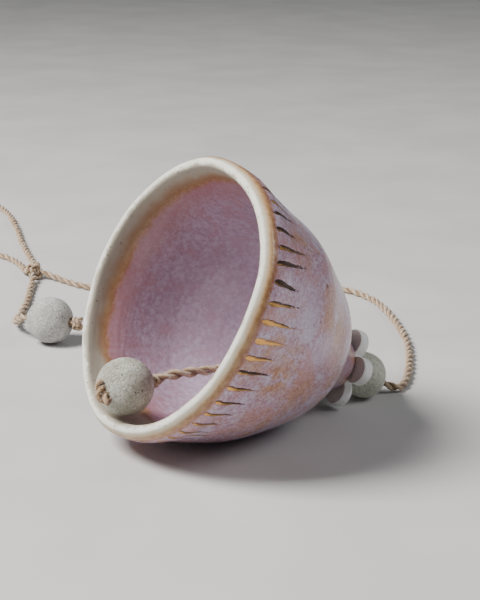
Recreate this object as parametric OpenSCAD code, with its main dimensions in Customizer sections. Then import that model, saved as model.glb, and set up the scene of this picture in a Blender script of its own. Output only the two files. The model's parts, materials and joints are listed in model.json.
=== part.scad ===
// A hand-made porcelain bell that lies on its side, with its clapper, beads and twine hanger.
// +Z is up and the surface under the bell is z = 0. The bell's axis lies in the XZ plane, and
// its crown points along +X and down. In the bell's own frame z runs from mouth to crown.

/* [Bell] */
// Outer diameter across the mouth
mouth_d = 78; // [72:1:84]
// Height from the lip to the crown
bell_h = 64; // [60:0.2:68]
// Wall thickness at the lip
lip_wall = 4.2; // [3.6:0.1:4.6]
// Wall thickness at the crown
crown_wall = 3.8; // [3:0.1:4.2]
// Diameter of the hole in the crown
crown_hole_d = 5; // [4:0.1:6]
// Slope of the bell's axis as it lies
tilt = 28; // [24:0.5:31]

/* [Beads] */
// Diameter of the clapper ball
ball_d = 15.6; // [12:0.2:16]
// Diameter of the bead on the crown
crown_bead_d = 13.6; // [12:0.2:14]
// Diameter of the bead on the hanger's tail
tail_bead_d = 15.2; // [13:0.2:17]
// Diameter of the bore through each bead
bead_bore_d = 3; // [2.8:0.1:4]

/* [Flower] */
// Number of lobes
lobes = 5; // [4:1:6]
// Diameter of one lobe
lobe_d = 8; // [6:0.1:8.4]
// Radius of the circle through the lobes' centres
lobe_ring_r = 7.8; // [7.5:0.1:8.6]
// Thickness of the flower
flower_t = 3.4; // [3:0.1:4]

/* [Twine] */
// Diameter of the twine
twine_d = 2.4; // [2:0.1:2.6]
// Diameter of the knot inside the crown
inner_knot_d = 8.4; // [7:0.2:8.6]
// Diameter of the knot that ties the hanging loop
loop_knot_d = 7; // [6:0.2:8]
// Diameter of the knots that hold the beads
small_knot_d = 5; // [4.4:0.2:6]

/* [Clapper] */
// Length from the inner knot's centre to the ball's centre
clapper_l = 58.6; // [54:0.1:60]
// Angle between the clapper and the bell's axis where the ball rests on the wall
clapper_rest = 27; // [20:0.1:27]
// Turn of the clapper about the bell's axis from its lowest line
clapper_turn = 5; // [0:1:10]

/* [Hidden] */
$fn = 64;

bell_x = -24.4;      // mouth centre, so that the bell and its beads are centred on x = 0
running_gap = 0.3;   // between pieces that turn or swing past each other
twine_r = twine_d / 2;
lie = twine_r + 0.05;  // height of the centre of twine that lies on the surface

// Outer profile above the lip's rounding: [part of the mouth radius, part of the height]
profile = [[1, 0.033], [0.985, 0.095], [0.94, 0.175], [0.885, 0.31], [0.82, 0.455],
           [0.69, 0.605], [0.535, 0.755], [0.32, 0.88], [0.225, 0.957], [0.19, 1]];
outer = smooth([for (p = profile) [p[0] * mouth_d / 2, p[1] * bell_h]], 4.5);
roof_z = bell_h - crown_wall - 2.4;  // inside of the crown, where its knot bears
inner = [for (i = [0:len(outer) - 1])
         let (q = outer[i] + inward(i) * wall_at(outer[i][1]))
         if (q[1] < roof_z - 1.2) q];
lip_r = norm(outer[0] - inner[0]) / 2;
lip_centre = (outer[0] + inner[0]) / 2;
lip_angle = atan2(outer[0][1] - lip_centre[1], outer[0][0] - lip_centre[0]);
lip = [for (a = [15:15:165]) lip_centre + lip_r * [cos(lip_angle - a), sin(lip_angle - a)]];

// The mouth centre's height puts the lowest line of the tilted profile on the surface
lift = max([for (p = outer) p[1] * sin(tilt) + p[0] * cos(tilt)]);

pivot_z = roof_z - running_gap - inner_knot_d / 2;
flower_z = bell_h + running_gap;
bead_z = flower_z + flower_t + running_gap + crown_bead_d / 2;
cord_split_z = bead_z + 4;  // inside the crown bead, where the hanger takes over

// The hanger's route: straight out of the crown bead, down onto the surface, out to the
// side, round behind the bell and to the loop knot
hanger_route = [on_axis(cord_split_z + running_gap), on_axis(bead_z + 7), [50.6, -1.5, 2.2],
                [54, -2.2, 1.4], [60.5, 2.8, lie], [70, 13.4, lie], [80.5, 27, lie],
                [91, 45, lie], [99, 63, lie], [102.6, 77, lie], [100.5, 90, lie],
                [92, 102, lie], [79, 111, lie], [63, 119, lie], [47, 126.5, lie],
                [36, 132, lie], [27.5, 137.5, lie], [23.5, 145, lie], [21.3, 154, lie],
                [19.2, 161, 1.8], [16.7, 164.2, 2.8]];
loop_knot_at = [14.4, 165, loop_knot_d / 2];
// The loop: out of the knot on one side, round its far end and back on the other
loop_route = [[16.3, 167.2, 2.8], [18.8, 173, 1.8], [22.6, 184, lie], [27, 199, lie],
              [33, 217, lie], [40.5, 238, lie], [46.5, 258, lie], [49.5, 276, lie],
              [47.5, 292, lie], [38, 302, lie], [26, 299, lie], [17, 286, lie],
              [11.5, 266, lie], [9, 244, lie], [10, 222, lie], [14.5, 205, lie],
              [17.4, 193, lie], [16.4, 181, lie], [14, 172.8, 1.8], [13.2, 167.6, 2.8]];
tail_bead_at = [-12.9, 95.2, tail_bead_d / 2];
flower_turn = 48;  // heading of the first lobe from the bell's lowest side
tail_turn = 128;  // heading of the tail bead's bore, from the cord side
// The tail: out of the loop knot, along the surface, up to its bead and straight through it
tail_route = [[12.8, 162.4, 2.6], [10, 157.5, 1.6], [4.5, 148, lie], [-2.5, 136, lie],
              [-10.5, 124, lie], [-17, 113.5, 3], tail_in(9.5), tail_in(5),
              tail_in(-tail_bead_d / 2 - small_knot_d / 2)];

function tail_in(d) = tail_bead_at + d * [cos(tail_turn), sin(tail_turn), 0];
function on_axis(z) = [bell_x + z * cos(tilt), 0, lift - z * sin(tilt)];
function wall_at(z) = lip_wall + (crown_wall - lip_wall) * z / bell_h;
function unit(v) = v / norm(v);

// The inward normal of the outer profile at point i
function inward(i) = let (a = outer[max(i - 1, 0)], b = outer[min(i + 1, len(outer) - 1)],
                          d = unit(b - a)) [-d[1], d[0]];

// A Catmull-Rom curve through the points, with a step of about the given length
function between(a, b, c, d, t) = b + (c - a) * t / 2
    + (2 * a - 5 * b + 4 * c - d) * t * t / 2 + (3 * b - a - 3 * c + d) * t * t * t / 2;
function smooth(p, step) = let (n = len(p) - 1) concat(
    [for (i = [0:n - 1]) let (m = max(1, round(norm(p[i + 1] - p[i]) / step)))
        for (k = [0:m - 1])
            between(p[max(i - 1, 0)], p[i], p[i + 1], p[min(i + 2, n)], k / m)],
    [p[n]]);

// One ring of a tube's points at place i of the route
function ring(p, i, r, sides) = let (t = unit(p[min(i + 1, len(p) - 1)] - p[max(i - 1, 0)]),
    side = unit(cross(t, [0, 0, 1])), top = cross(side, t))
    [for (k = [0:sides - 1]) p[i] + r * (cos(k * 360 / sides) * side
                                         + sin(k * 360 / sides) * top)];

module tube(route, r, sides = 8) {
    p = smooth(route, 8);
    n = len(p);
    points = [for (i = [0:n - 1]) each ring(p, i, r, sides)];
    walls = [for (i = [0:n - 2], k = [0:sides - 1]) let (a = i * sides + k,
        b = i * sides + (k + 1) % sides) each [[a, a + sides, b], [b, a + sides, b + sides]]];
    first = [for (k = [0:sides - 1]) k];
    last = [for (k = [sides - 1:-1:0]) (n - 1) * sides + k];
    polyhedron(points = points, faces = concat(walls, [first, last]));
}

module in_bell() {
    translate([bell_x, 0, lift]) rotate([0, 90 + tilt, 0]) children();
}

// The clapper's frame: origin at its pivot, and +z along its twine to the ball
module in_clapper() {
    in_bell() translate([0, 0, pivot_z]) rotate([0, 0, clapper_turn])
        rotate([0, 180 - clapper_rest, 0]) children();
}

module bored_sphere(d, bore_d) {
    difference() {
        sphere(d = d);
        translate([0, 0, -d]) cylinder(d = bore_d, h = 2 * d);
    }
}

module bell_shell() {
    roof = inner[len(inner) - 1];
    color("plum") in_bell() rotate_extrude() polygon(concat(
        outer, [[crown_hole_d / 2, bell_h], [crown_hole_d / 2, roof_z], [roof[0] * 0.6, roof_z]],
        [for (i = [len(inner) - 1:-1:0]) inner[i]],
        [for (i = [len(lip) - 1:-1:0]) lip[i]]));
}

module flower_spacer() {
    color("white") in_bell() translate([0, 0, flower_z]) difference() {
        union() {
            cylinder(r = lobe_ring_r - 1, h = flower_t);
            for (i = [0:lobes - 1])
                rotate([0, 0, flower_turn + i * 360 / lobes]) translate([lobe_ring_r, 0, 0])
                    cylinder(d = lobe_d, h = flower_t);
        }
        translate([0, 0, -1]) cylinder(d = bead_bore_d, h = flower_t + 2);
    }
}

module crown_bead() {
    color("darkseagreen") in_bell() translate([0, 0, bead_z])
        bored_sphere(crown_bead_d, bead_bore_d);
}

module inner_knot() {
    color("tan") in_bell() translate([0, 0, pivot_z]) sphere(d = inner_knot_d);
}

module crown_cord() {
    color("tan") in_bell() translate([0, 0, pivot_z + inner_knot_d / 4])
        cylinder(r = twine_r, h = cord_split_z - pivot_z - inner_knot_d / 4);
}

module clapper_cord() {
    start = inner_knot_d / 2 + running_gap;
    finish = clapper_l + ball_d / 2 + small_knot_d / 2;
    color("tan") in_clapper() translate([0, 0, start]) cylinder(r = twine_r, h = finish - start);
}

module clapper_top_knot() {
    color("tan") in_clapper()
        translate([0, 0, clapper_l - ball_d / 2 - small_knot_d / 2 - running_gap])
            bored_sphere(small_knot_d, twine_d);
}

module clapper_ball() {
    color("gainsboro") in_clapper() translate([0, 0, clapper_l])
        bored_sphere(ball_d, bead_bore_d);
}

module clapper_end_knot() {
    color("tan") in_clapper()
        translate([0, 0, clapper_l + ball_d / 2 + small_knot_d / 2 + running_gap - 0.6])
            sphere(d = small_knot_d);
}

module hanger_cord() {
    color("tan") tube(hanger_route, twine_r);
}

module loop_knot() {
    color("tan") translate(loop_knot_at) sphere(d = loop_knot_d);
}

module hanging_loop() {
    color("tan") tube(loop_route, twine_r);
}

module tail_cord() {
    color("tan") tube(tail_route, twine_r);
}

module tail_bead() {
    color("gainsboro") translate(tail_bead_at) rotate([0, 90, tail_turn])
        bored_sphere(tail_bead_d, bead_bore_d);
}

module tail_end_knot() {
    color("tan") translate(tail_in(-tail_bead_d / 2 - small_knot_d / 2 - running_gap + 0.6))
        sphere(d = small_knot_d);
}

bell_shell();
flower_spacer();
crown_bead();
inner_knot();
crown_cord();
clapper_cord();
clapper_top_knot();
clapper_ball();
clapper_end_knot();
hanger_cord();
loop_knot();
hanging_loop();
tail_cord();
tail_bead();
tail_end_knot();
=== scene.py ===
import json
import math
import random

import bpy
import numpy as np
from mathutils import Matrix, Vector, noise


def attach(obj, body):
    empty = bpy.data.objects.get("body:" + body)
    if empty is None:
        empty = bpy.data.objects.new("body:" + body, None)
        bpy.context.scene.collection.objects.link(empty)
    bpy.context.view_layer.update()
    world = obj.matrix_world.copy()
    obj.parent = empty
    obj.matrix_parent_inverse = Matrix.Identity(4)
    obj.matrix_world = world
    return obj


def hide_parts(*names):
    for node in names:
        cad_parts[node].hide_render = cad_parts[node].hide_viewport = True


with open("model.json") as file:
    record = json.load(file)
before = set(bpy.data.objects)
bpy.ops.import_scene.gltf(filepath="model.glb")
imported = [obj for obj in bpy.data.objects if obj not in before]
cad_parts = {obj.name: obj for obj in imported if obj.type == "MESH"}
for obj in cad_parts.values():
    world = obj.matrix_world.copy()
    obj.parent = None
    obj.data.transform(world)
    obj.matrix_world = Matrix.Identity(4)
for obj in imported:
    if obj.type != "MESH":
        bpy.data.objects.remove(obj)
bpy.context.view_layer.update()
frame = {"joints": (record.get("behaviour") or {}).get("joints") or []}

MM = 0.001
JOINTS = {j["name"]: j for j in frame["joints"]}

# ---------------------------------------------------------------- the bell's own frame
# Origin at the mouth's centre, +z towards the crown, +x towards the lowest side.
PIVOT_Z = 53.3
MOUTH_R = 39.0
BELL_H = 64.0
# The outside, as shares of the mouth's radius and of the height, from the mouth up.
PROFILE = [(1, 0.033), (0.985, 0.095), (0.94, 0.175), (0.885, 0.31), (0.82, 0.455),
           (0.69, 0.605), (0.535, 0.755), (0.32, 0.88), (0.225, 0.957), (0.19, 1)]
LIP_WALL, CROWN_WALL = 4.2, 3.8
HOLE_R = 2.5
ROOF_Z = BELL_H - CROWN_WALL - 2.4
FLOWER_Z = BELL_H + 0.3
FLOWER_T = 3.4
BEAD_Z = FLOWER_Z + FLOWER_T + 0.3 + 6.8

AXIS = Vector(JOINTS["twine_twist"]["axis"]).normalized()
MOUTH = Vector(JOINTS["twine_twist"]["pos_m"]) - AXIS * PIVOT_Z * MM
SIDE = Vector((0, 1, 0))
DOWN = SIDE.cross(AXIS).normalized()
BELL = Matrix.Translation(MOUTH) @ Matrix((DOWN, SIDE, AXIS)).transposed().to_4x4()


# ---------------------------------------------------------------- camera
CAM_HEADING = math.radians(32.9)
CAM_PITCH = math.radians(17.0)
CAM_OFFSET = Vector((-18.9, 1.0, -394.8)) * MM  # the rim circle's centre as the camera sees it
RIM_CENTRE = MOUTH + AXIS * 0.8 * MM


def make_camera():
    ahead = Vector((math.sin(CAM_HEADING), math.cos(CAM_HEADING), 0))
    right = Vector((math.cos(CAM_HEADING), -math.sin(CAM_HEADING), 0))
    back = -math.cos(CAM_PITCH) * ahead + math.sin(CAM_PITCH) * Vector((0, 0, 1))
    up = back.cross(right)
    turn = Matrix((right, up, back)).transposed()
    cam = bpy.data.objects.new("camera", bpy.data.cameras.new("camera"))
    cam.data.lens = 90
    cam.data.clip_start = 0.01
    cam.matrix_world = Matrix.Translation(RIM_CENTRE - turn @ CAM_OFFSET) @ turn.to_4x4()
    bpy.context.scene.collection.objects.link(cam)
    bpy.context.scene.camera = cam


make_camera()


# ---------------------------------------------------------------- mesh helpers
def curve_through(points, step):
    """A Catmull-Rom curve through the points, as an array with about that step."""
    p = [np.array(q, float) for q in points]
    n = len(p) - 1
    out = []
    for i in range(n):
        a, b, c, d = p[max(i - 1, 0)], p[i], p[i + 1], p[min(i + 2, n)]
        m = max(1, round(float(np.linalg.norm(c - b)) / step))
        for k in range(m):
            t = k / m
            out.append(b + (c - a) * t / 2 + (2 * a - 5 * b + 4 * c - d) * t * t / 2
                       + (3 * b - a - 3 * c + d) * t ** 3 / 2)
    out.append(p[n])
    return np.array(out)


def even(points, step):
    """The same line with points an even distance apart."""
    d = np.concatenate([[0], np.cumsum(np.linalg.norm(np.diff(points, axis=0), axis=1))])
    s = np.linspace(0, d[-1], max(2, round(d[-1] / step) + 1))
    return np.stack([np.interp(s, d, points[:, k]) for k in range(points.shape[1])], 1)


def line_length(points):
    return float(np.linalg.norm(np.diff(points, axis=0), axis=1).sum())


MARK = "mark"   # the name of the vector that each vertex carries for its material


class Build:
    """Vertices, faces and one vector per vertex, gathered for one mesh."""

    def __init__(self):
        self.verts, self.faces, self.marks = [], [], []

    def add(self, verts, faces, marks=None):
        base = len(self.verts)
        self.verts.extend(map(tuple, verts))
        self.faces.extend(tuple(base + i for i in f) for f in faces)
        self.marks.extend(map(tuple, marks) if marks is not None else [(0, 0, 0)] * len(verts))

    def piece(self, name, material, place=None):
        mesh = bpy.data.meshes.new(name)
        mesh.from_pydata([tuple(c * MM for c in v) for v in self.verts], [], self.faces)
        mesh.update()
        mesh.polygons.foreach_set("use_smooth", [True] * len(mesh.polygons))
        layer = mesh.attributes.new(MARK, "FLOAT_VECTOR", "POINT")
        layer.data.foreach_set("vector", np.array(self.marks, np.float32).ravel())
        mesh.materials.append(material)
        obj = bpy.data.objects.new(name, mesh)
        bpy.context.scene.collection.objects.link(obj)
        if place is not None:
            obj.matrix_world = place
        return obj


def ring_faces(rings, sides, closed=False):
    faces = []
    for i in range(rings if closed else rings - 1):
        j = (i + 1) % rings
        for k in range(sides):
            m = (k + 1) % sides
            faces.append((i * sides + k, i * sides + m, j * sides + m, j * sides + k))
    return faces


def frames_along(path):
    """Unit tangent and two unit normals at each point, carried along without twist."""
    t = np.gradient(path, axis=0)
    t /= np.linalg.norm(t, axis=1)[:, None]
    n = np.cross(t[0], (0.3, 0.2, 1.0))
    n /= np.linalg.norm(n)
    normals = [n]
    for i in range(1, len(path)):
        n = normals[-1] - t[i] * (normals[-1] @ t[i])
        normals.append(n / np.linalg.norm(n))
    n = np.array(normals)
    return t, n, np.cross(t, n)


# ---------------------------------------------------------------- material helpers
class Nodes:
    """Short names for building a node tree."""

    def __init__(self, name):
        self.mat = bpy.data.materials.new(name)
        self.mat.use_nodes = True
        self.tree = self.mat.node_tree
        self.bsdf = self.tree.nodes["Principled BSDF"]

    def new(self, kind, **values):
        n = self.tree.nodes.new(kind)
        for key, value in values.items():
            setattr(n, key, value)
        return n

    def link(self, a, b):
        self.tree.links.new(a, b)

    def put(self, socket, value):
        if isinstance(value, bpy.types.NodeSocket):
            self.link(value, socket)
        else:
            socket.default_value = value

    def math(self, op, a, b=0.0):
        n = self.new("ShaderNodeMath", operation=op)
        for socket, value in zip(n.inputs, (a, b)):
            self.put(socket, value)
        return n.outputs[0]

    def mix(self, share, a, b):
        n = self.new("ShaderNodeMix", data_type="RGBA")
        self.put(n.inputs["Factor"], share)
        for socket, value in ((n.inputs[6], a), (n.inputs[7], b)):
            self.put(socket, (*value, 1) if isinstance(value, tuple) else value)
        return n.outputs[2]

    def choose(self, share, a, b):
        """a where share is 0 and b where it is 1, for plain numbers."""
        return self.math("ADD", self.math("MULTIPLY", self.math("SUBTRACT", 1.0, share), a),
                         self.math("MULTIPLY", share, b))

    def ramp(self, value, low, high, start=0.0, end=1.0):
        """value from low to high, smoothly turned to start to end."""
        n = self.new("ShaderNodeMapRange", interpolation_type="SMOOTHSTEP")
        for socket, v in zip(n.inputs, (value, low, high, start, end)):
            self.put(socket, v)
        return n.outputs[0]

    def noise(self, where, scale, detail=4.0, rough=0.55, warp=0.0):
        n = self.new("ShaderNodeTexNoise")
        self.link(where, n.inputs["Vector"])
        n.inputs["Scale"].default_value = scale
        n.inputs["Detail"].default_value = detail
        n.inputs["Roughness"].default_value = rough
        n.inputs["Distortion"].default_value = warp
        return n.outputs["Fac"]

    def cells(self, where, scale):
        """Scattered cells: how far from the cell's middle, and three random numbers per cell."""
        n = self.new("ShaderNodeTexVoronoi")
        self.link(where, n.inputs["Vector"])
        n.inputs["Scale"].default_value = scale
        pick = self.new("ShaderNodeSeparateColor")
        self.link(n.outputs["Color"], pick.inputs[0])
        return n.outputs["Distance"], pick.outputs

    def dots(self, where, scale, size, rarity):
        """1 in small dots of many sizes, up to size, and 0 between them."""
        away, chance = self.cells(where, scale)
        inside = self.math("LESS_THAN", away, self.math("MULTIPLY", chance[1], size))
        return self.math("MULTIPLY", inside, self.math("GREATER_THAN", chance[0], rarity))

    def coords(self):
        """Object coordinates, in millimetres."""
        t = self.new("ShaderNodeTexCoord")
        v = self.new("ShaderNodeVectorMath", operation="SCALE")
        self.link(t.outputs["Object"], v.inputs[0])
        v.inputs["Scale"].default_value = 1 / MM
        return v.outputs[0]

    def mark(self):
        """The piece's own vector per vertex, whole and in its three parts."""
        a = self.new("ShaderNodeAttribute", attribute_name=MARK)
        s = self.new("ShaderNodeSeparateXYZ")
        self.link(a.outputs["Vector"], s.inputs[0])
        return a.outputs["Vector"], s.outputs

    def away(self, where, place):
        """How far where is from a place."""
        n = self.new("ShaderNodeVectorMath", operation="DISTANCE")
        self.link(where, n.inputs[0])
        n.inputs[1].default_value = place
        return n.outputs["Value"]

    def stretched(self, vector, x, y, z):
        n = self.new("ShaderNodeVectorMath", operation="MULTIPLY")
        self.link(vector, n.inputs[0])
        n.inputs[1].default_value = (x, y, z)
        return n.outputs[0]

    def bump(self, height, depth_mm, strength=1.0):
        n = self.new("ShaderNodeBump")
        n.inputs["Strength"].default_value = strength
        n.inputs["Distance"].default_value = depth_mm * MM
        self.link(height, n.inputs["Height"])
        return n.outputs["Normal"]

    def finish(self, colour, rough, normal=None, **constants):
        self.put(self.bsdf.inputs["Base Color"], (*colour, 1) if isinstance(colour, tuple) else colour)
        self.put(self.bsdf.inputs["Roughness"], rough)
        if normal is not None:
            self.link(normal, self.bsdf.inputs["Normal"])
        for key, value in constants.items():
            self.bsdf.inputs[key.replace("_", " ")].default_value = value
        return self.mat


# ---------------------------------------------------------------- materials
def jute(name="jute", light=(0.76, 0.57, 0.37), dark=(0.30, 0.155, 0.075)):
    """Twisted plant fibre: streaks along each ply, paler and darker strands, painted shade where the
    plies meet, no gloss.
    """
    n = Nodes(name)
    vector, part = n.mark()
    streaks = n.noise(n.stretched(vector, 0.35, 9.0, 1.0), 1.0, 3.0, 0.6)
    patches = n.noise(n.stretched(vector, 0.16, 0.8, 1.0), 1.0, 2.0)
    crease_depth_and_shade = n.ramp(part[2], 0.15, 0.75)
    colour = n.mix(n.ramp(streaks, 0.38, 0.62), dark, light)
    colour = n.mix(n.ramp(patches, 0.42, 0.72, 0.0, 0.6), colour, (0.82, 0.73, 0.60))
    # painted shade: the twine is darker where the two plies meet
    colour = n.mix(n.math("MULTIPLY", crease_depth_and_shade, 0.7), colour, (0.16, 0.085, 0.045))
    height = n.math("ADD", streaks, n.math("MULTIPLY", crease_depth_and_shade, -0.4))
    return n.finish(colour, n.ramp(streaks, 0.2, 0.8, 0.95, 0.75), n.bump(height, 0.25, 0.9),
                    Specular_IOR_Level=0.25, Sheen_Weight=0.25, Sheen_Roughness=0.5)


def hairs(name="jute_hairs"):
    n = Nodes(name)
    tone = n.noise(n.coords(), 0.8, 1.0)
    colour = n.mix(n.ramp(tone, 0.35, 0.65), (0.80, 0.69, 0.54), (0.93, 0.90, 0.83))
    return n.finish(colour, n.ramp(tone, 0.2, 0.8, 0.6, 0.8), Specular_IOR_Level=0.3)


def stoneware(name, pale, mid, speck_share=1.0, gloss=0.66, rugged=1.0):
    """Bare speckled clay: pale sand grains standing up, iron specks and pinholes."""
    n = Nodes(name)
    where = n.coords()
    cloud = n.noise(where, 0.2, 4.0, 0.6)
    grain = n.noise(where, 1.5, 5.0, 0.75)
    away, chance = n.cells(where, 1.25)
    over = n.math("SUBTRACT", away, n.math("MULTIPLY", chance[1], 0.42))
    pale_sand = n.math("MULTIPLY", n.ramp(over, 0.04, -0.06), n.math("GREATER_THAN", chance[0], 0.5))
    away, chance = n.cells(where, 0.95)
    over = n.math("SUBTRACT", away, n.math("MULTIPLY", chance[1], 0.24))
    pit = n.math("MULTIPLY", n.ramp(over, 0.02, -0.03), n.math("GREATER_THAN", chance[0], 0.4))
    colour = n.mix(n.ramp(cloud, 0.35, 0.68), mid, pale)
    colour = n.mix(n.ramp(grain, 0.42, 0.64, 0.0, 0.75), colour, tuple(c * 0.58 for c in mid))
    colour = n.mix(n.math("MULTIPLY", pale_sand, 0.6), colour, tuple(min(0.92, c * 1.3) for c in pale))
    colour = n.mix(n.math("MULTIPLY", pit, 0.85 * speck_share), colour, (0.09, 0.075, 0.06))
    height = n.math("ADD", grain, n.math("MULTIPLY", pale_sand, 0.35))
    height = n.math("SUBTRACT", height, pit)
    rough = n.ramp(grain, 0.3, 0.7, gloss, gloss + 0.18)
    return n.finish(colour, rough, n.bump(height, 0.75 * rugged), Specular_IOR_Level=0.35)


def gold_lustre():
    """Gold lustre in a carved mark, darker at both edges, with a painted glint along the lower side and
    painted shadow and painted dark reflection along the upper.
    """
    n = Nodes("gold_lustre")
    _, part = n.mark()
    where = n.coords()
    glint_and_bump_noise = n.noise(where, 0.9, 4.0, 0.65)
    fine = n.noise(where, 4.0, 3.0, 0.6)
    # where the painted glint ends across the mark, moved by noise, by the place along and by each
    # mark's share of glint
    side = n.math("ADD", part[1], n.math("MULTIPLY", n.math("SUBTRACT", glint_and_bump_noise, 0.5), 1.2))
    side = n.math("SUBTRACT", side, n.math("SUBTRACT", part[2], 0.4))
    left = n.math("SUBTRACT", part[0], 0.5)
    painted_glint = n.ramp(n.math("ADD", side, n.math("MULTIPLY", left, 2.0)), -0.5, 0.8)
    edge = n.ramp(n.math("ABSOLUTE", part[1]), 0.6, 1.0)
    # painted light: a gold glint on the lower side, near-black painted shadow and dark reflection
    # elsewhere
    colour = n.mix(painted_glint, (0.045, 0.026, 0.024), (0.84, 0.44, 0.13))
    colour = n.mix(n.ramp(fine, 0.5, 0.75, 0.0, 0.5), colour, (0.36, 0.19, 0.08))
    colour = n.mix(n.math("MULTIPLY", edge, 0.8), colour, (0.08, 0.042, 0.034))
    height = n.math("ADD", fine, n.math("MULTIPLY", glint_and_bump_noise, 0.5))
    rough = n.ramp(painted_glint, 0.0, 1.0, 0.42, 0.24)
    return n.finish(colour, rough, n.bump(height, 0.05, 0.7), Metallic=0.7)


def on_wall(heading, height):
    """The point of the outside at a heading round the bell, in degrees, and a height above the
    mouth, in the bell's own frame."""
    shares, heights = zip(*PROFILE)
    radius = MOUTH_R * float(np.interp(height / BELL_H, heights, shares))
    turn = math.radians(heading)
    return radius * math.cos(turn), radius * math.sin(turn), height


# Tan patches on the outside: heading, height, how wide and how strong.
PATCHES = [(-76, 18, 6.0, 0.9), (-88, 20, 4.5, 0.55), (-112, 30, 5.0, 0.7), (-122, 28, 3.5, 0.6),
           (-131, 16, 4.5, 0.5), (-71, 31, 8.5, 0.65), (-77, 46, 8.0, 0.6), (-110, 38, 6.0, 0.7),
           (-48, 20, 6.5, 0.4), (-97, 42, 5.0, 0.45), (150, 20, 7.0, 0.7), (69, 24, 8.0, 0.6),
           (106, 38, 6.0, 0.6)]
# Paler, bluer places between them: heading, height and how wide.
PALE_PATCHES = [(-113, 20, 7.0), (-94, 30, 5.0), (54, 20, 6.0)]
IRON_SPOT = (-125, 27)


def bare_clay(n, where):
    """The cream body: soft clouds, grain and a few iron specks. Also gives grain and specks."""
    grain = n.noise(where, 1.8, 5.0, 0.7)
    cloud = n.noise(where, 0.12, 3.0, 0.5)
    speck = n.dots(where, 0.8, 0.22, 0.42)
    clay = n.mix(n.ramp(cloud, 0.3, 0.7), (0.70, 0.675, 0.59), (0.82, 0.80, 0.735))
    clay = n.mix(n.ramp(grain, 0.4, 0.8, 0.0, 0.3), clay, (0.50, 0.45, 0.36))
    clay = n.mix(n.math("MULTIPLY", speck, 0.7), clay, (0.16, 0.12, 0.09))
    return clay, grain, speck


def outside_glaze(n, where, speckle):
    """Mottled lilac with tan patches, pink and white crystals and a few dark dots."""
    mottle = n.noise(where, 1.0, 6.0, 0.78, 0.2)
    drift = n.noise(where, 0.11, 4.0, 0.6, 0.5)
    lilac = n.mix(n.ramp(mottle, 0.40, 0.60), (0.38, 0.215, 0.28), (0.57, 0.455, 0.58))
    lilac = n.mix(n.ramp(drift, 0.47, 0.62, 0.0, 0.6), lilac, (0.52, 0.27, 0.27))
    lilac = n.mix(n.ramp(drift, 0.48, 0.34, 0.0, 0.6), lilac, (0.60, 0.55, 0.70))
    for heading, height, wide in PALE_PATCHES:
        away = n.away(where, on_wall(heading, height))
        lilac = n.mix(n.ramp(away, wide * 1.3, wide * 0.3, 0.0, 0.42), lilac, (0.56, 0.47, 0.64))
    lilac = n.mix(n.ramp(speckle, 0.52, 0.66, 0.0, 0.7), lilac, (0.50, 0.17, 0.17))
    lilac = n.mix(n.ramp(speckle, 0.46, 0.32, 0.0, 0.6), lilac, (0.70, 0.65, 0.80))
    tan = n.mix(n.ramp(mottle, 0.40, 0.60), (0.38, 0.185, 0.10), (0.55, 0.32, 0.19))
    tan = n.mix(n.ramp(speckle, 0.5, 0.66, 0.0, 0.65), tan, (0.48, 0.17, 0.13))
    ragged = n.noise(where, 0.22, 4.0, 0.62, 0.3)
    share = n.ramp(n.noise(where, 0.08, 3.0, 0.6, 0.8), 0.5, 0.68, 0.0, 0.75)
    for heading, height, wide, strong in PATCHES:
        away = n.away(where, on_wall(heading, height))
        share = n.math("MAXIMUM", share, n.ramp(away, wide * 1.35, wide * 0.35, 0.0, strong))
    share = n.math("MULTIPLY", share, n.ramp(ragged, 0.36, 0.5))
    outer = n.mix(share, lilac, tan)
    dot = n.dots(where, 0.42, 0.12, 0.6)
    outer = n.mix(n.math("MULTIPLY", dot, 0.8), outer, (0.14, 0.06, 0.05))
    spot = n.away(where, on_wall(*IRON_SPOT))
    return n.mix(n.ramp(spot, 0.95, 0.5, 0.0, 0.9), outer, (0.20, 0.075, 0.04))


def inside_glaze(n, where, speckle, inn):
    """Mauve, redder near the bare band and greyer in the deep hollow."""
    cloud = n.noise(where, 0.2, 5.0, 0.68, 0.3)
    mottle = n.noise(where, 0.7, 6.0, 0.74)
    inner = n.mix(n.ramp(mottle, 0.35, 0.65), (0.31, 0.20, 0.26), (0.43, 0.345, 0.44))
    inner = n.mix(n.ramp(cloud, 0.46, 0.64, 0.0, 0.6), inner, (0.36, 0.195, 0.23))
    inner = n.mix(n.ramp(speckle, 0.52, 0.68, 0.0, 0.4), inner, (0.34, 0.12, 0.14))
    inner = n.mix(n.ramp(speckle, 0.46, 0.30, 0.0, 0.3), inner, (0.52, 0.46, 0.59))
    inner = n.mix(n.ramp(inn, 18.0, 36.0, 0.0, 0.45), inner, n.mix(0.5, inner, (0.58, 0.53, 0.66)))
    return n.mix(n.ramp(inn, 19.0, 10.0, 0.0, 0.65), inner, (0.34, 0.145, 0.16))


# Where each zone of the bare band begins and is full, in millimetres over the surface from the lip's
# crest. The first zone on each side is painted shade.
OUT_SHOULDER_SHADE, OUT_AMBER, OUT_BROWN, OUT_LILAC = (0.1, 1.5), (1.0, 2.8), (2.9, 3.9), (3.9, 5.2)
IN_BEVEL_SHADE, IN_AMBER, IN_BROWN, IN_MAUVE = (0.9, 2.0), (3.4, 7.4), (7.4, 8.6), (8.0, 9.8)
LOW_BAND = 8.0   # how much wider the bare band inside is on the low side


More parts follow.
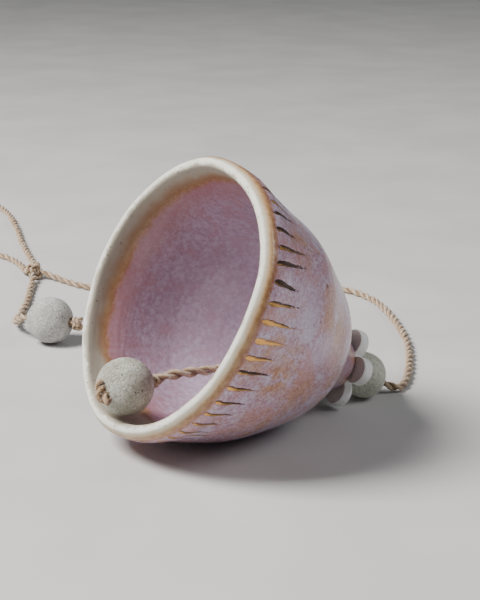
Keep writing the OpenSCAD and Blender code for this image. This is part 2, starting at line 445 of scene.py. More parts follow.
def glaze():
    """The bell: bare cream lip with painted shade just past its crest, an amber line where the glaze
    breaks, then mottled lilac.
    """
    n = Nodes("bell_glaze")
    _, part = n.mark()
    along = part[0]   # millimetres over the surface from the lip's crest, inside is negative
    where = n.coords()
    edge_noise = n.noise(where, 0.16, 3.0, 0.55)
    fine_edge = n.noise(where, 0.75, 3.0, 0.6)
    shift = n.math("ADD", n.math("MULTIPLY", n.math("SUBTRACT", edge_noise, 0.5), 2.6),
                   n.math("MULTIPLY", n.math("SUBTRACT", fine_edge, 0.5), 1.1))
    out = n.math("ADD", along, n.math("MULTIPLY", shift, 0.5))
    inn = n.math("ADD", n.math("MULTIPLY", along, -1.0), n.math("MULTIPLY", shift, 1.3))
    place = n.new("ShaderNodeSeparateXYZ")
    n.link(where, place.inputs[0])
    low = n.ramp(place.outputs[0], 20.0, 33.0, 0.0, LOW_BAND)
    inn = n.math("SUBTRACT", inn, low)
    outside = n.math("GREATER_THAN", along, 0.0)
    speckle = n.noise(where, 2.6, 4.0, 0.75)
    clay, grain, speck = bare_clay(n, where)
    amber = n.mix(n.ramp(fine_edge, 0.35, 0.65), (0.36, 0.185, 0.08), (0.48, 0.29, 0.14))
    brown = n.mix(n.ramp(fine_edge, 0.4, 0.6), (0.33, 0.13, 0.085), (0.42, 0.21, 0.15))

    # painted shade: the outside darkens to olive just past the crest, where the lip's shoulder turns
    # from the light
    outer = n.mix(n.ramp(out, *OUT_SHOULDER_SHADE, 0.0, 0.85), clay, (0.46, 0.40, 0.285))
    outer = n.mix(n.ramp(out, *OUT_AMBER), outer, amber)
    outer = n.mix(n.ramp(out, *OUT_BROWN, 0.0, 0.8), outer, brown)
    outer = n.mix(n.ramp(out, *OUT_LILAC), outer, outside_glaze(n, where, speckle))
    crest = n.math("ADD", inn, low)
    # painted shade: the inside darkens to grey-brown just past the crest, on the lip's inner bevel
    inner = n.mix(n.ramp(crest, *IN_BEVEL_SHADE, 0.0, 0.82), clay, (0.32, 0.28, 0.205))
    inner = n.mix(n.math("MULTIPLY", speck, 0.6), inner, (0.10, 0.08, 0.06))
    inner = n.mix(n.ramp(inn, *IN_AMBER), inner, n.mix(0.6, amber, (0.22, 0.12, 0.07)))
    inner = n.mix(n.ramp(inn, *IN_BROWN, 0.0, 0.6), inner, brown)
    inner = n.mix(n.ramp(inn, *IN_MAUVE), inner, inside_glaze(n, where, speckle, inn))
    colour = n.mix(outside, inner, outer)

    glassy = n.choose(outside, n.ramp(inn, 6.0, 8.0), n.ramp(out, 0.8, 2.2))
    rough = n.math("ADD", n.ramp(glassy, 0.0, 1.0, 0.62, 0.2), n.ramp(speckle, 0.3, 0.7, -0.03, 0.05))
    peel = n.noise(where, 0.5, 3.0, 0.5)
    rings = n.noise(n.stretched(where, 0.12, 0.12, 1.0), 0.42, 2.0, 0.5)
    height = n.math("ADD", n.math("MULTIPLY", peel, 0.9), n.math("MULTIPLY", rings, 1.2))
    height = n.math("ADD", height, n.math("MULTIPLY", n.math("SUBTRACT", 1.0, glassy),
                                          n.math("MULTIPLY", grain, 0.5)))
    height = n.math("SUBTRACT", height, n.math("MULTIPLY", speck, 0.4))
    height = n.math("ADD", height, n.math("MULTIPLY", glassy, 0.5))
    return n.finish(colour, rough, n.bump(height, 0.16, 0.7), Specular_IOR_Level=0.42)


def flower_glaze():
    """White gloss over the edge and crown side, grey-brown on the side to the bell, with a dark brown
    ring between them.
    """
    n = Nodes("flower_glaze")
    where = n.coords()
    _, part = n.mark()
    face = n.ramp(part[0], 0.93, 0.985)
    cloud = n.noise(where, 0.35, 3.0)
    fine = n.noise(where, 2.2, 4.0, 0.7)
    white = n.mix(n.ramp(cloud, 0.3, 0.7), (0.88, 0.88, 0.86), (0.94, 0.94, 0.92))
    # the grey-brown colour of the flat side to the bell
    bare = n.mix(n.ramp(fine, 0.3, 0.7), (0.52, 0.475, 0.43), (0.62, 0.57, 0.52))
    rim = n.math("MULTIPLY", n.ramp(part[0], 0.88, 0.94), n.ramp(part[0], 1.0, 0.96))
    colour = n.mix(face, white, bare)
    colour = n.mix(n.math("MULTIPLY", rim, 0.6), colour, (0.26, 0.13, 0.075))
    return n.finish(colour, n.ramp(part[0], 0.2, 0.7, 0.2, 0.5), n.bump(cloud, 0.1, 0.5),
                    Specular_IOR_Level=0.5)


def floor_material():
    n = Nodes("studio_floor")
    tone = n.noise(n.coords(), 0.02, 2.0)
    colour = n.mix(n.ramp(tone, 0.3, 0.7), (0.56, 0.55, 0.54), (0.60, 0.59, 0.58))
    return n.finish(colour, n.ramp(tone, 0.3, 0.7, 0.55, 0.62), Specular_IOR_Level=0.3)


MAT_JUTE = jute()
MAT_JUTE_BROWN = jute("jute_brown", light=(0.68, 0.45, 0.25), dark=(0.28, 0.13, 0.055))
MAT_HAIRS = hairs()
MAT_BALL = stoneware("clapper_stoneware", (0.72, 0.71, 0.62), (0.50, 0.48, 0.395))
MAT_TAIL = stoneware("tail_stoneware", (0.70, 0.69, 0.66), (0.54, 0.52, 0.48))
MAT_CELADON = stoneware("crown_celadon", (0.73, 0.735, 0.63), (0.60, 0.61, 0.51), 0.4, 0.42, 0.4)
MAT_GLAZE = glaze()
MAT_GOLD = gold_lustre()
MAT_FLOWER = flower_glaze()


# ---------------------------------------------------------------- twine
TWINE_R = 1.2
PLY_R = 0.70
LIE = TWINE_R + 0.05


def hair(build, root, out, along, length, rng, keep=None):
    """One thin fibre that leaves the twine and curls. keep says where its points may be."""
    steps, r = 5, rng.uniform(0.028, 0.072)
    curl = Vector([rng.uniform(-1, 1) for _ in range(3)]) * 0.5
    pts = []
    for i in range(steps + 1):
        t = i / steps
        bend = Vector(out) * t * 0.8 + Vector(along) * (t * 0.9) + curl * t * t
        pts.append(Vector(root) + bend * length)
    if keep is not None and not all(keep(p) for p in pts[1:]):
        return
    a = Vector(out).cross(Vector(along)).normalized()
    b = Vector(out).normalized()
    verts = []
    for i, p in enumerate(pts):
        w = r * (1 - 0.75 * i / steps)
        verts += [p + a * w, p - a * w * 0.5 + b * w * 0.87, p - a * w * 0.5 - b * w * 0.87]
    faces = ring_faces(steps + 1, 3) + [(2, 1, 0), tuple(3 * steps + k for k in range(3))]
    build.add(verts, faces)


def plies(build, path, radius, seed, pitch=7.5, sides=12, lumps=7):
    """Two twisted plies along the path. Each is a bundle whose outline has small lobes."""
    rng = random.Random(seed)
    t, n, b = frames_along(path)
    s = np.concatenate([[0], np.cumsum(np.linalg.norm(np.diff(path, axis=0), axis=1))])
    ply_r = radius * PLY_R / TWINE_R
    off = radius - ply_r
    start = rng.uniform(0, math.tau)
    for ply in range(2):
        phase = start + ply * math.pi + math.tau * s / pitch
        phase = phase + 0.25 * np.sin(s / 5.1 + seed + ply)
        size = 1 + 0.07 * np.sin(s / 1.9 + ply * 2.2 + seed) + 0.05 * np.sin(s / 0.83 + seed * 1.7)
        centre = path + off * (np.cos(phase)[:, None] * n + np.sin(phase)[:, None] * b)
        verts, marks = [], []
        for k in range(sides):
            a = k * math.tau / sides
            spin = a - math.tau * s / (pitch * 0.62)
            lobe = 1 + 0.10 * np.cos(lumps * spin) + 0.05 * np.cos(3 * spin + s)
            around = phase + a
            r = (ply_r * size * lobe)[:, None]
            verts.append(centre + r * (np.cos(around)[:, None] * n + np.sin(around)[:, None] * b))
            # facing also tells the twine material where to paint shade between the plies
            facing = 0.5 - 0.5 * math.cos(a)   # 1 where the ply meets the other one
            marks.append(np.stack([s + 40 * ply, spin * ply_r + seed, np.full(len(s), facing)], 1))
        verts = np.stack(verts, 1).reshape(-1, 3)
        marks = np.stack(marks, 1).reshape(-1, 3)
        rings = len(path)
        faces = ring_faces(rings, sides)
        faces += [tuple(range(sides - 1, -1, -1)), tuple((rings - 1) * sides + k for k in range(sides))]
        build.add(verts, faces, marks)
    return t, n, b


HAIR_REACH = 3.3   # how far from the twine's middle a loose fibre may stand


def above_floor(p):
    return p.z > 0.1


def twine(name, route, seed, radius=TWINE_R, hair_per_mm=0.9, hair_max=3.0, floor=False, step=0.5,
          pitch=8.5):
    """A piece of two-ply jute twine along the route, with loose fibres."""
    path = even(curve_through(route, 0.5), step)
    build, fuzz = Build(), Build()
    t, n, b = plies(build, path, radius, seed, pitch)
    rng = random.Random(seed + 1)

    def keep(p):
        near = np.linalg.norm(path - np.array(p), axis=1).min() < HAIR_REACH
        return near and (not floor or above_floor(p))

    for _ in range(round(line_length(path) * hair_per_mm)):
        i = rng.randrange(2, len(path) - 2)
        a = rng.uniform(0, math.tau)
        out = math.cos(a) * n[i] + math.sin(a) * b[i]
        root = path[i] + out * radius * 0.8
        length = rng.uniform(0.6, hair_max) * rng.uniform(0.5, 1)
        along = t[i] * rng.choice((-1, 1)) * rng.uniform(0.4, 1.6)
        hair(fuzz, root, out, along, length, rng, keep)
    return with_hairs(name, build, fuzz), path


def with_hairs(name, build, fuzz, material=None):
    """One piece of twine and its loose fibres, which keep their own material."""
    own = len(build.faces)
    build.add(fuzz.verts, fuzz.faces)
    obj = build.piece(name, material or MAT_JUTE)
    obj.data.materials.append(MAT_HAIRS)
    index = np.zeros(len(build.faces), np.int32)
    index[own:] = 1
    obj.data.polygons.foreach_set("material_index", index)
    return obj


def trefoil(u, squash):
    """The line of an overhand knot, at the angle u along it."""
    return (math.sin(u) + 2 * math.sin(2 * u), math.cos(u) - 2 * math.cos(2 * u),
            -1.25 * math.sin(3 * u) * squash)


def knot(name, centre, axis, turn, size, radius, seed, squash=0.8, stub=None, floor=False):
    """An overhand knot pulled tight: twine wound on a trefoil, as wide as size."""
    rng = random.Random(seed)
    a = Vector(axis).normalized()
    x = a.orthogonal().normalized()
    x = Matrix.Rotation(turn, 3, a) @ x
    y = a.cross(x)
    scale = (size / 2 - radius) / 3.0
    loop = []
    for i in range(97):
        u = i / 96 * math.tau
        p = trefoil(u, squash)
        loop.append(Vector(centre) + scale * (p[0] * x + p[1] * y + p[2] * a))
    path = even(np.array([tuple(p) for p in loop]), 0.35)
    build, fuzz = Build(), Build()
    t, n, b = plies(build, path, radius, seed, pitch=5.5)
    if stub is not None:
        s0 = Vector(centre) + 0.25 * size * x
        s1 = Vector(centre) + Vector(stub)
        stub_path = even(np.array([tuple(s0), tuple((s0 + s1) / 2 + 0.3 * a), tuple(s1)]), 0.35)
        plies(build, stub_path, radius * 0.9, seed + 5, pitch=6)
        direction = (s1 - s0).normalized()
        for _ in range(30):
            out = Vector([rng.uniform(-1, 1) for _ in range(3)]).normalized()
            hair(fuzz, s1 + out * radius * 0.6 - direction * 0.3, out * 0.5 + direction, direction,
                 rng.uniform(0.4, 1.1), rng)
    for _ in range(26):
        i = rng.randrange(2, len(path) - 2)
        ang = rng.uniform(0, math.tau)
        out = math.cos(ang) * n[i] + math.sin(ang) * b[i]
        along = t[i] * rng.choice((-1, 1))
        hair(fuzz, path[i] + out * radius * 0.8, out, along, rng.uniform(0.5, 1.6), rng,
             above_floor if floor else None)
    return with_hairs(name, build, fuzz)


def folded_knot(name, centre, axis, lie, shift, seed, radius=1.3):
    """A thick twine end that comes out of the bore and lies folded across it."""
    rng = random.Random(seed)
    a = Vector(axis).normalized()
    x = (Vector(lie) - a * a.dot(Vector(lie))).normalized()
    y = a.cross(x)
    at = Vector(centre) + Vector(shift)
    stem = [(0.3, -0.2, -2.2), (0.3, -0.2, -0.4), (0.1, 0.0, 1.0)]
    fold = [(-3.0, 0.5, 0.1), (-2.3, 0.3, 0.7), (-1.2, -0.1, 1.15), (0.1, -0.3, 1.25),
            (1.3, 0.0, 1.05), (2.3, 0.4, 0.6), (3.0, 0.9, 0.0)]
    build, fuzz = Build(), Build()
    for points, r in ((stem, 1.15), (fold, radius)):
        line = np.array([tuple(at + p[0] * x + p[1] * y + p[2] * a) for p in points])
        path = even(curve_through(line, 0.25), 0.25)
        path_t, n, b = plies(build, path, r, seed, pitch=6.5, sides=16)
        for _ in range(70):
            i = rng.randrange(1, len(path) - 1)
            ang = rng.uniform(0, math.tau)
            out = math.cos(ang) * n[i] + math.sin(ang) * b[i]
            along = path_t[i] * rng.choice((-1, 1))
            hair(fuzz, path[i] + out * r * 0.8, out, along, rng.uniform(0.4, 1.3), rng)
    return with_hairs(name, build, fuzz, MAT_JUTE_BROWN)


def bell_point(x, y, z):
    """A point of the bell's own frame, in the row frame, in millimetres."""
    return tuple((BELL @ Vector((x * MM, y * MM, z * MM))) / MM)


CORD_SPLIT_Z = BEAD_Z + 4
HANGER_ROUTE = [bell_point(0, 0, CORD_SPLIT_Z + 0.3), bell_point(0, 0, BEAD_Z + 7), (50.6, -1.5, 2.2),
                (54, -2.2, 1.4), (60.5, 2.8, LIE), (70, 13.4, LIE), (80.5, 27, LIE),
                (91, 45, LIE), (99, 63, LIE), (102.6, 77, LIE), (100.5, 90, LIE),
                (92, 102, LIE), (79, 111, LIE), (63, 119, LIE), (47, 126.5, LIE),
                (36, 132, LIE), (27.5, 137.5, LIE), (23.5, 145, LIE), (21.3, 154, LIE),
                (19.2, 161, 1.8), (16.7, 164.2, 2.8)]
LOOP_KNOT_AT = (14.4, 165, 3.5)
LOOP_ROUTE = [(16.3, 167.2, 2.8), (18.8, 173, 1.8), (22.6, 184, LIE), (27, 199, LIE),
              (33, 217, LIE), (40.5, 238, LIE), (46.5, 258, LIE), (49.5, 276, LIE),
              (47.5, 292, LIE), (38, 302, LIE), (26, 299, LIE), (17, 286, LIE),
              (11.5, 266, LIE), (9, 244, LIE), (10, 222, LIE), (14.5, 205, LIE),
              (17.4, 193, LIE), (16.4, 181, LIE), (14, 172.8, 1.8), (13.2, 167.6, 2.8)]
TAIL_BEAD_AT = Vector(JOINTS["tail_bead_spin"]["pos_m"]) / MM
TAIL_AXIS = Vector(JOINTS["tail_bead_spin"]["axis"]).normalized()
TAIL_BEAD_D = 15.2


def tail_in(d):
    return tuple(TAIL_BEAD_AT - d * TAIL_AXIS)


TAIL_ROUTE = [(12.8, 162.4, 2.6), (10, 157.5, 1.6), (4.5, 148, LIE), (-2.5, 136, LIE),
              (-10.5, 124, LIE), (-17, 113.5, 3), tail_in(9.5), tail_in(5),
              tail_in(-TAIL_BEAD_D / 2 - 2.5)]


def make_hanger():
    """The twine behind the bell, its loop and its tail, with their knots and the bead."""
    hanger, hanger_path = twine("hanger_twine", HANGER_ROUTE, 11, floor=True)
    loop, loop_path = twine("loop_twine", LOOP_ROUTE, 12, floor=True)
    tail, tail_path = twine("tail_twine", TAIL_ROUTE, 13, floor=True)
    loop_knot = knot("loop_knot_twine", LOOP_KNOT_AT, (0.3, -1, 0.2), 0.4, 7.4, 1.15, 21,
                     floor=True)
    end_centre = TAIL_BEAD_AT + TAIL_AXIS * (TAIL_BEAD_D / 2 + 2.2)
    end_knot = knot("tail_end_knot_twine", end_centre, TAIL_AXIS, 0.2, 5.6, 0.9, 22,
                    stub=tuple(TAIL_AXIS * 2.6 + Vector((0.3, 0.2, -0.8))))
    bead = bored_bead("tail_bead_clay", TAIL_BEAD_AT, TAIL_AXIS, TAIL_BEAD_D, MAT_TAIL, 31)
    for obj, nodes, slot in ((hanger, ["hanger_cord"], "twine"), (loop, ["hanging_loop"], "twine"),
                             (tail, ["tail_cord"], "twine"), (loop_knot, ["loop_knot"], "twine"),
                             (end_knot, ["tail_end_knot"], "twine")):
        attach(obj, "bell")
        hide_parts(*nodes)
    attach(bead, "tail_bead")
    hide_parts("tail_bead")


# ---------------------------------------------------------------- beads
def bored_bead(name, centre, axis, diameter, material, seed, bore=3.0, lumps=0.07):
    """A hand-rolled round bead with a bore along axis, a little out of true."""
    r, br, fillet = diameter / 2, bore / 2, 0.45
    start = math.asin((br + fillet) / r)
    rows = []
    for i in range(57):
        a = start + (math.pi - 2 * start) * i / 56
        rows.append((r * math.sin(a), r * math.cos(a)))
    top = rows[0][1]
    mouth = [(br + fillet * (1 - math.sin(u)), top - fillet * (1 - math.cos(u)) - 0.02)
             for u in np.linspace(0.0, math.pi / 2, 6)[1:]]
    rows = [(p[0], p[1]) for p in reversed(mouth)] + rows + [(p[0], -p[1]) for p in mouth]
    sides = 96
    a = Vector(axis).normalized()
    x = a.orthogonal().normalized()
    y = a.cross(x)
    verts, marks = [], []
    for rad, z in rows:
        for k in range(sides):
            u = k * math.tau / sides
            p = Vector((rad * math.cos(u), rad * math.sin(u), z))
            q = p / r
            lump = noise.noise(q * 1.3 + Vector((seed, 0, 0))) * lumps * 2.0
            lump += noise.noise(q * 5.0 + Vector((0, seed, 0))) * lumps * 0.5
            p *= 1 + (lump - lumps * 0.6) / r
            verts.append(Vector(centre) + p.x * x + p.y * y + p.z * a)
            marks.append((rad, u, z))
    build = Build()
    build.add(verts, [f[::-1] for f in ring_faces(len(rows), sides, closed=True)], marks)
    return build.piece(name, material)


make_hanger()


# ---------------------------------------------------------------- bell shell
SHELL_SIDES = 512
SHELL_STEP = 0.9
LIP_DROP = 0.9   # how round the lip is, 1 being a half circle
INNER_CORNER = 0.62   # how square the lip's inner corner is, 1 being round
SHOULDER, SHOULDER_H = 0.9, 6.5   # how far the outside draws in at the lip, and how high up


def shell_profile():
    """The outline, closed, from the crown hole round the outside and back inside, as rows of
    [radius, height, millimetres from the lip's crest, which are negative inside]."""
    outer = even(curve_through([(r * MOUTH_R, z * BELL_H) for r, z in PROFILE], 0.5), SHELL_STEP)
    d = np.gradient(outer, axis=0)
    d /= np.linalg.norm(d, axis=1)[:, None]
    wall = LIP_WALL + (CROWN_WALL - LIP_WALL) * outer[:, 1] / BELL_H
    inner = outer + np.stack([-d[:, 1], d[:, 0]], 1) * wall[:, None]
    inner = inner[inner[:, 1] < ROOF_Z - 1.2]
    centre, lip_r = (outer[0] + inner[0]) / 2, np.linalg.norm(outer[0] - inner[0]) / 2
    out_dir = (outer[0] - centre) / lip_r
    down_dir = np.array((out_dir[1], -out_dir[0]))
    lip = []
    for a in np.linspace(0, math.pi, 25)[1:-1]:
        square = 1.0 if a < math.pi / 2 else INNER_CORNER
        across = math.copysign(abs(math.cos(a)) ** square, math.cos(a))
        lip.append(centre + lip_r * (across * out_dir + LIP_DROP * math.sin(a) ** square * down_dir))
    crown = curve_through([(7.4, BELL_H), (7.0, BELL_H + 0.02), (4.8, BELL_H), (3.0, BELL_H - 0.05),
                           (HOLE_R, BELL_H - 0.6)], 0.6)[1:]
    bore = [(HOLE_R, z) for z in np.linspace(BELL_H - 1.4, ROOF_Z + 0.8, 4)]
    roof_line = [(HOLE_R, ROOF_Z + 0.5), (3.1, ROOF_Z), (5.5, ROOF_Z), tuple(inner[-1])]
    roof = curve_through(roof_line, 0.8)[:-1]
    loop = [*crown[::-1], *outer[::-1], *lip, *inner, *roof[::-1], *bore[::-1]]
    loop = np.array([tuple(p) for p in loop])
    steps = np.linalg.norm(np.diff(loop, axis=0), axis=1)
    s = np.concatenate([[0], np.cumsum(steps)])
    crest = len(crown) + len(outer) + len(lip) // 2
    return np.column_stack([loop, s[crest] - s])


FLARE, FLARE_AT = 1.8, math.radians(133)   # how far the rim was pressed outwards, and where most


def shoulder(z):
    """How far the outside draws in where it rounds over to the lip."""
    return SHOULDER * max(0.0, 1 - z / SHOULDER_H) ** 2


def wobble(theta, z):
    """How far the thrown wall stands out of true, by given waves."""
    low = 1 - 0.7 * np.clip(z / BELL_H, 0, 1)
    return low * (0.30 * np.sin(2 * theta + 0.7) + 0.20 * np.sin(3 * theta + 2.0 - z / 30)
                  + 0.13 * np.sin(5 * theta + 0.4 + z / 16) + 0.07 * np.sin(9 * theta + z / 7)) \
        + 0.10 * np.sin(z / 3.1 + 2 * np.sin(theta + 1)) * np.clip(z / 12, 0, 1) \
        + FLARE * np.clip(np.cos(theta - FLARE_AT), 0, 1) ** 2 * np.clip(1 - z / 16, 0, 1)


def lip_wave(theta, z):
    fade = np.clip(1 - z / 12, 0, 1) ** 2
    return fade * (0.25 * np.sin(2 * theta + 2.2) + 0.18 * np.sin(4 * theta + 1.0)
                   + 0.10 * np.sin(7 * theta + 0.3) + 0.06 * np.sin(13 * theta))


# The carved marks on the side that shows: heading round the bell in degrees, lean towards the top,
# length, half width and how much painted glint each shows, the rest being painted dark reflection.
SEEN_MARKS = [(39, 0.34, 13, 0.85, 0.10), (46.5, 0.22, 10, 1.05, 0.15), (54.5, 0.30, 14, 1.05, 0.42),
              (61, 0.30, 14, 1.10, 0.10), (68, 0.10, 11, 1.25, 0.05), (76.5, 0.21, 13, 1.05, 0.50),
              (83.5, 0.12, 13.5, 1.15, 0.75), (91, 0.12, 12, 1.20, 1.00), (98, 0.12, 11.5, 1.05, 0.70),
              (104, 0.08, 11.5, 0.95, 0.22), (111.5, 0.04, 11, 1.00, 0.60), (119, 0.02, 11, 1.00, 0.45),
              (126, 0.00, 10.5, 0.95, 0.60), (133, -0.02, 10.5, 0.95, 0.50),
              (140.5, -0.05, 10.5, 0.90, 0.50)]
OTHER_MARKS = 34
MARK_START = 3.5   # height above the lip


def mark_list():
    """Each carved mark as (angle, start height, length, half width, lean, gold), gold being its share
    of painted glint.
    """
    rng = random.Random(7)
    marks = [(math.radians(180 + a), MARK_START + rng.uniform(-0.2, 0.3), length, half, -lean, gold)
             for a, lean, length, half, gold in SEEN_MARKS]
    first, last = SEEN_MARKS[-1][0], SEEN_MARKS[0][0] + 360
    for i in range(1, OTHER_MARKS + 1):
        angle = first + (last - first) * i / (OTHER_MARKS + 1) + rng.uniform(-0.9, 0.9)
        marks.append((math.radians(180 + angle), MARK_START + rng.uniform(-0.3, 0.5),
                      rng.uniform(9.5, 12.8), rng.uniform(0.9, 1.2), rng.uniform(-0.22, 0.1),
                      rng.uniform(0.1, 1.0)))
    return marks


MARKS = mark_list()


def mark_width(t, seed=0.0):
    """Half width along a mark, from its blunt end near the lip to its point."""
    t = np.clip(t, 0, 1)
    blunt = np.sqrt(np.clip(1 - (1 - np.minimum(t / 0.12, 1)) ** 2, 0, 1))
    ragged = 1 + 0.10 * np.sin(17 * t + 5 * seed) + 0.06 * np.sin(41 * t + 9 * seed)
    return 0.8 * blunt * (1 - t) ** 0.65 * ragged


MARK_DEPTH = 0.24
SOFT_EDGE = 1.3   # the carving is this much wider than the gold in it


def groove_depth(theta, z, radius, carved):
    """Depth of the carving at the angles theta of one row of the outside."""
    depth = np.zeros_like(theta)
    for angle, start, length, half, lean, _ in carved:
        t = (z - start) / length
        if not -0.05 < t < 1.02:
            continue
        width = SOFT_EDGE * half * max(0.12, float(mark_width(t, angle)))
        across = (np.angle(np.exp(1j * (theta - angle))) * radius - lean * (z - start)) / width
        depth = np.maximum(depth, MARK_DEPTH * np.clip(1 - across ** 2, 0, 1) * min(1.0, width / 0.5))
    return depth


def make_shell():
    rows = shell_profile()
    theta = np.arange(SHELL_SIDES) * math.tau / SHELL_SIDES
    verts, marks = [], []
    for radius, z, s in rows:
        near = min(1.0, max(0.0, (radius - HOLE_R) / 8))
        outside = min(1.0, max(0.0, (s + 0.5) / 2.0))
        r = radius - outside * shoulder(z) + near * wobble(theta, np.full_like(theta, z))
        if 3 < s < 22:
            r = r - groove_depth(theta, z, radius, MARKS)
        zz = z - lip_wave(theta, np.full_like(theta, z))
        verts.append(np.stack([r * np.cos(theta), r * np.sin(theta), zz], 1))
        marks.append(np.stack([np.full_like(theta, s), theta, np.full_like(theta, z)], 1))
    build = Build()
    build.add(np.concatenate(verts), [f[::-1] for f in ring_faces(len(rows), SHELL_SIDES, closed=True)],
              np.concatenate(marks))
    return build.piece("bell_porcelain", MAT_GLAZE, BELL)


def outer_line():
    rows = shell_profile()
    rows = rows[rows[:, 2] > 1.0]
    order = np.argsort(rows[:, 1])
    return rows[order]


def make_gold():
    """The gold in each carved mark, lying on the carving. Its mark vector is how much painted glint the
    mark shows, the place across and the place along."""
    line = outer_line()
    build = Build()
    across, along = 11, 30
    for carved in MARKS:
        angle, start, length, half, lean, gold = carved
        verts, marks = [], []
        for i in range(along):
            t = 0.004 + 0.985 * i / (along - 1)
            z = start + length * t
            radius = float(np.interp(z, line[:, 1], line[:, 0]))
            w = half * float(mark_width(t, angle))
            u = np.linspace(-1, 1, across)
            th = angle + (lean * (z - start) + u * w) / radius
            sink = groove_depth(th, z, radius, [carved]) - 0.07 * (1 - u ** 6)
            r = radius - shoulder(z) + wobble(th, np.full(across, z)) - sink
            zz = z - lip_wave(th, np.full(across, z))
            verts.extend(zip(r * np.cos(th), r * np.sin(th), zz))
            marks.extend((gold, side, t) for side in u)
        faces = []
        for i in range(along - 1):
            for k in range(across - 1):
                a = i * across + k
                faces.append((a, a + 1, a + across + 1, a + across))
        build.add(verts, faces, marks)
    return build.piece("gold_marks", MAT_GOLD, BELL)


# ---------------------------------------------------------------- flower
LOBES, LOBE_R, LOBE_RING_R, CORE_R, FIRST_LOBE = 5, 4.0, 7.8, 6.6, math.radians(48)
FLOWER_EDGE = 0.7   # radius of its rounded edges
FLOWER_SIDES, FLOWER_BORE_R = 400, 1.5


def flower_outline():
    """Distance from the middle to the edge at each angle: round lobes joined by a round core."""
    reach = []
    for k in range(FLOWER_SIDES):
        u = k * math.tau / FLOWER_SIDES
        d = (u - FIRST_LOBE + math.pi / LOBES) % (math.tau / LOBES) - math.pi / LOBES
        side = LOBE_RING_R * math.sin(d)
        out = CORE_R
        if abs(side) < LOBE_R:
            out = max(out, LOBE_RING_R * math.cos(d) + math.sqrt(LOBE_R ** 2 - side ** 2))
        reach.append(out)
    reach = np.array(reach)
    for _ in range(3):
        reach = (np.roll(reach, 1) + 2 * reach + np.roll(reach, -1)) / 4
    return reach


def flower_edge(half):
    """The rounded edge from the crown side to the bell side, as inset, height and share of the
    way round."""
    rows = []
    for a in np.linspace(0, math.pi, 15):
        flat = 0.0 if abs(math.cos(a)) < 1e-6 else math.copysign(half - FLOWER_EDGE, math.cos(a))
        rows.append((FLOWER_EDGE * (1 - math.sin(a)), FLOWER_EDGE * math.cos(a) + flat,
                     0.5 - 0.5 * math.cos(a)))
    return rows


def make_flower():
    """A white porcelain flower: round lobes joined at the middle, with rounded edges."""
    outline = flower_outline()
    half = FLOWER_T / 2
    core = FLOWER_BORE_R + 0.4
    steps = (0, 0.12, 0.3, 0.5, 0.7, 0.85)
    theta = np.arange(FLOWER_SIDES) * math.tau / FLOWER_SIDES
    verts, marks = [], []

    def ring(radius, height, share):
        wave = 0.05 * np.sin(3 * theta + height)
        verts.append(np.stack([radius * np.cos(theta), radius * np.sin(theta),
                               FLOWER_Z + half + height + wave], 1))
        marks.append(np.column_stack([np.full(FLOWER_SIDES, share), theta,
                                      radius * np.ones(FLOWER_SIDES)]))

    for t in steps:
        ring(core + (outline - FLOWER_EDGE - core) * t, half + 0.15 * (1 - t), 0.0)
    for inset, height, share in flower_edge(half):
        ring(outline - inset, height, share)
    for t in reversed(steps):
        ring(core + (outline - FLOWER_EDGE - core) * t, -half, 1.0)
    ring(FLOWER_BORE_R, -half + 0.4, 1.0)
    ring(FLOWER_BORE_R, half - 0.4, 0.0)
    build = Build()
    faces = [f[::-1] for f in ring_faces(len(verts), FLOWER_SIDES, closed=True)]
    build.add(np.concatenate(verts), faces, np.concatenate(marks))
    return build.piece("flower_porcelain", MAT_FLOWER, BELL)


# ---------------------------------------------------------------- clapper
PIVOT = Vector(JOINTS["clapper_swing"]["pos_m"]) / MM
CLAPPER_AXIS = Vector(JOINTS["clapper_ball_spin"]["axis"]).normalized()
BALL_AT = Vector(JOINTS["clapper_ball_spin"]["pos_m"]) / MM
BALL_D = 15.6


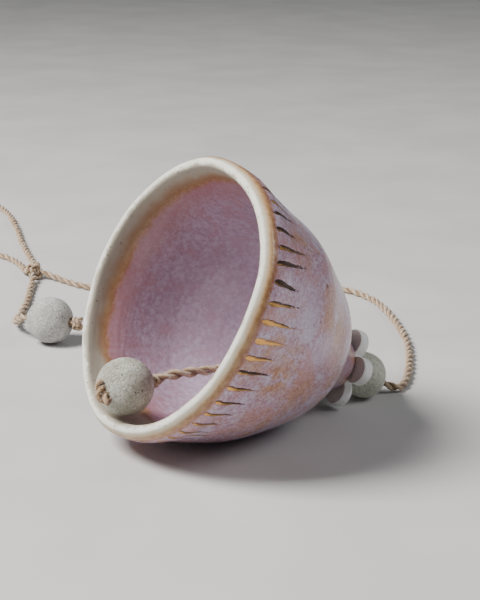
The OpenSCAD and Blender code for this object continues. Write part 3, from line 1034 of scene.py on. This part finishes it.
def make_clapper():
    """The clapper's twine, its two knots, the ball and the knot inside the crown."""
    bow = CLAPPER_AXIS.cross(SIDE).normalized()
    if bow.z < 0:
        bow = -bow
    reach = (BALL_AT - PIVOT).length
    points = []
    for d, lift, side in ((4.5, 0, 0), (12, -0.2, 0.2), (22, -0.4, 0.3), (31, 0.1, 0.1),
                          (39, 0.8, -0.2), (45, 0.9, -0.1), (reach - BALL_D / 2 - 1.0, 0.3, 0),
                          (reach - BALL_D / 2 + 2.5, 0, 0)):
        points.append(tuple(PIVOT + CLAPPER_AXIS * d + bow * lift + SIDE * side))
    cord, path = twine("clapper_twine", points, 14, radius=1.42, hair_per_mm=2.4, hair_max=4.6,
                       step=0.35, pitch=9.5)
    top = knot("clapper_top_knot_twine", BALL_AT - CLAPPER_AXIS * (BALL_D / 2 + 1.3), CLAPPER_AXIS, 0.9,
               4.4, 0.72, 23, squash=0.6)
    end_at = BALL_AT + CLAPPER_AXIS * (BALL_D / 2 + 0.2)
    end = folded_knot("clapper_end_knot_twine", end_at, CLAPPER_AXIS, (0.70, -0.76, -0.86),
                      (0.7, -2.75, 0.2), 24, 1.45)
    ball = bored_bead("clapper_stoneware_ball", BALL_AT, CLAPPER_AXIS, BALL_D, MAT_BALL, 32)
    stopper = knot("inner_knot_twine", PIVOT, AXIS, 0.3, 8.6, 1.3, 25, squash=1.1)
    for obj, body, node, slot in ((cord, "clapper", "clapper_cord", "twine"),
                                  (top, "clapper", "clapper_top_knot", "twine"),
                                  (end, "clapper", "clapper_end_knot", "twine"),
                                  (ball, "clapper_ball", "clapper_ball", "stoneware"),
                                  (stopper, "twine_swivel", "inner_knot", "twine")):
        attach(obj, body)
        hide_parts(node)


def make_crown():
    """The twine through the crown, the flower and the crown bead."""
    start = bell_point(0, 0, PIVOT_Z + 2.1)
    finish = bell_point(0, 0, CORD_SPLIT_Z)
    cord, _ = twine("crown_twine", [start, finish], 15)
    bead = bored_bead("crown_bead_celadon", bell_point(0, 0, BEAD_Z), AXIS, 13.6, MAT_CELADON, 33)
    for obj, body, node, slot in ((cord, "twine_swivel", "crown_cord", "twine"),
                                  (bead, "crown_bead", "crown_bead", "celadon"),
                                  (make_flower(), "flower", "flower_spacer", "flower")):
        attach(obj, body)
        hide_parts(node)


shell = make_shell()
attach(shell, "bell")
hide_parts("bell_shell")
gold = make_gold()
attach(gold, "bell")
make_clapper()
make_crown()


# ---------------------------------------------------------------- studio
FLOOR_HALF = 3000


def make_floor():
    build = Build()
    corners = [(x * FLOOR_HALF, y * FLOOR_HALF, 0) for x, y in ((-1, -1), (1, -1), (1, 1), (-1, 1))]
    build.add(corners, [(0, 1, 2, 3)])
    floor = build.piece("floor", floor_material())


def area_light(name, place, target, size, power, colour):
    light = bpy.data.lights.new(name, "AREA")
    light.shape = "RECTANGLE"
    light.size, light.size_y = size
    light.energy = power
    light.color = colour
    obj = bpy.data.objects.new(name, light)
    obj.location = place
    obj.rotation_euler = (Vector(target) - Vector(place)).to_track_quat("-Z", "Y").to_euler()
    bpy.context.scene.collection.objects.link(obj)


def make_studio():
    """A pale floor, one soft window, a weaker one opposite and a faint sky."""
    make_floor()
    target = (-0.01, 0.0, 0.03)
    area_light("window_left", (-0.60, 0.26, 0.82), target, (0.42, 0.42), 24.0, (1.0, 0.99, 0.97))
    area_light("window_right", (0.66, -0.50, 0.72), target, (0.5, 0.5), 3.6, (0.97, 0.98, 1.0))
    world = bpy.data.worlds.new("studio")
    world.use_nodes = True
    sky = world.node_tree.nodes["Background"]
    sky.inputs["Color"].default_value = (0.85, 0.9, 0.95, 1)
    sky.inputs["Strength"].default_value = 0.11
    bpy.context.scene.world = world


make_studio()
